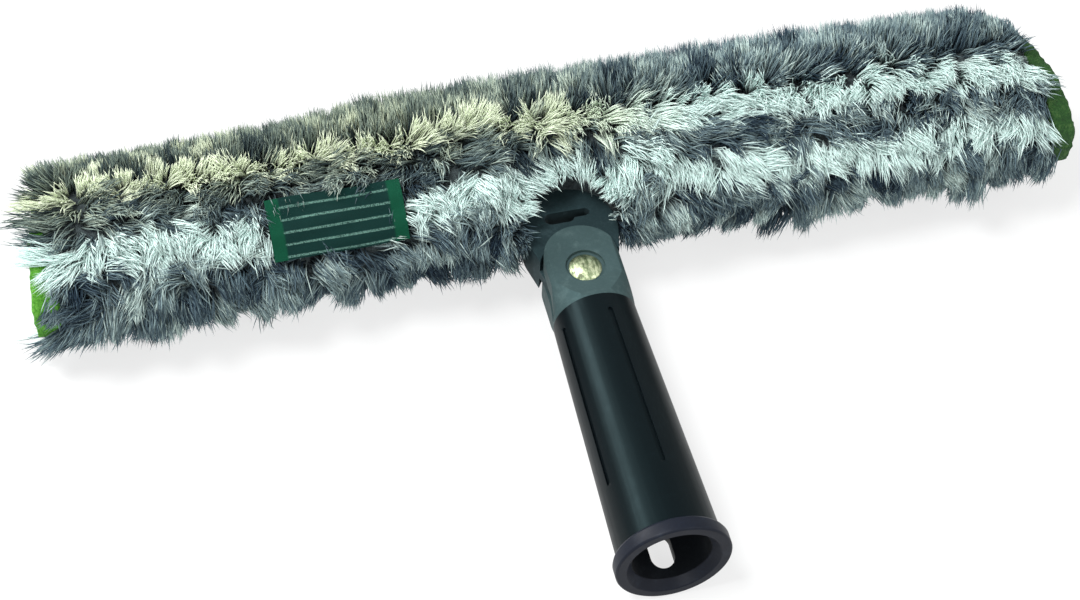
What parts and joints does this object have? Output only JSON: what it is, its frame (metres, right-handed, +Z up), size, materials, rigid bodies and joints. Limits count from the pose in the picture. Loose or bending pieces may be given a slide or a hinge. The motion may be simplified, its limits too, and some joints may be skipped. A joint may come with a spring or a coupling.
{
  "type": "window scrubber",
  "caption": "Window scrubber: rubber-gripped handle with a pole socket, a riveted swivel head and a T-bar in a striped pile sleeve with green end pads.",
  "frame": {"origin": "on the handle's axis, where the straight bore of the pole socket starts, 3.1 mm inside the mouth", "axes": "+Y from the handle to the bar, +X along the bar to the right as seen from the handle, +Z up from the table that the scrubber lies on, which is the swivel's axis too"},
  "size_m": [0.368, 0.1961, 0.0544],
  "materials": {
    "collar": "satin navy-black moulding",
    "core_plastic": "matte moulding",
    "grip_rubber": "satin black rubber with long grooves",
    "head_plastic": "slate-grey moulding, worn at the edges",
    "screw_steel": "zinc-plated",
    "rivet": "bright, faintly yellow plating",
    "nylon": "natural",
    "bar_plastic": "matte moulding",
    "backing_knit": "knitted backing",
    "binding_tape": "woven binding",
    "closure_tape": "hook and loop tape",
    "pile_white": "long off-white microfibre pile",
    "pile_grey": "long grey microfibre pile",
    "pad_left": "green abrasive non-woven",
    "pad_right": "green abrasive non-woven",
    "label_cloth": "woven green label, bare"
  },
  "bodies": {
    "handle": {"end_collar": "collar", "handle_core": "core_plastic", "grip": "grip_rubber", "head_shell_upper": "head_plastic", "head_shell_lower": "head_plastic", "shell_screws": "screw_steel", "swivel_rivet": "rivet", "rivet_washer": "screw_steel", "disc_spring": "screw_steel", "friction_disc_upper": "nylon", "friction_disc_lower": "nylon"},
    "head": {"hub": "head_plastic", "t_bar": "bar_plastic", "hub_screws": "screw_steel", "sleeve_backing": "backing_knit", "slit_binding": "binding_tape", "closure_hook_strip": "closure_tape", "closure_loop_strip": "closure_tape", "pile_white": "pile_white", "pile_grey": "pile_grey", "pile_edge": "pile_grey", "pile_under": "pile_grey", "end_pad_left": "pad_left", "end_pad_right": "pad_right", "label": "label_cloth"}
  },
  "joints": [
    {"name": "swivel", "type": "hinge", "parent": "handle", "child": "head", "pos_m": [0, 0.111, 0], "axis": [0, 0, 1], "range_deg": [-50, 50]}
  ]
}
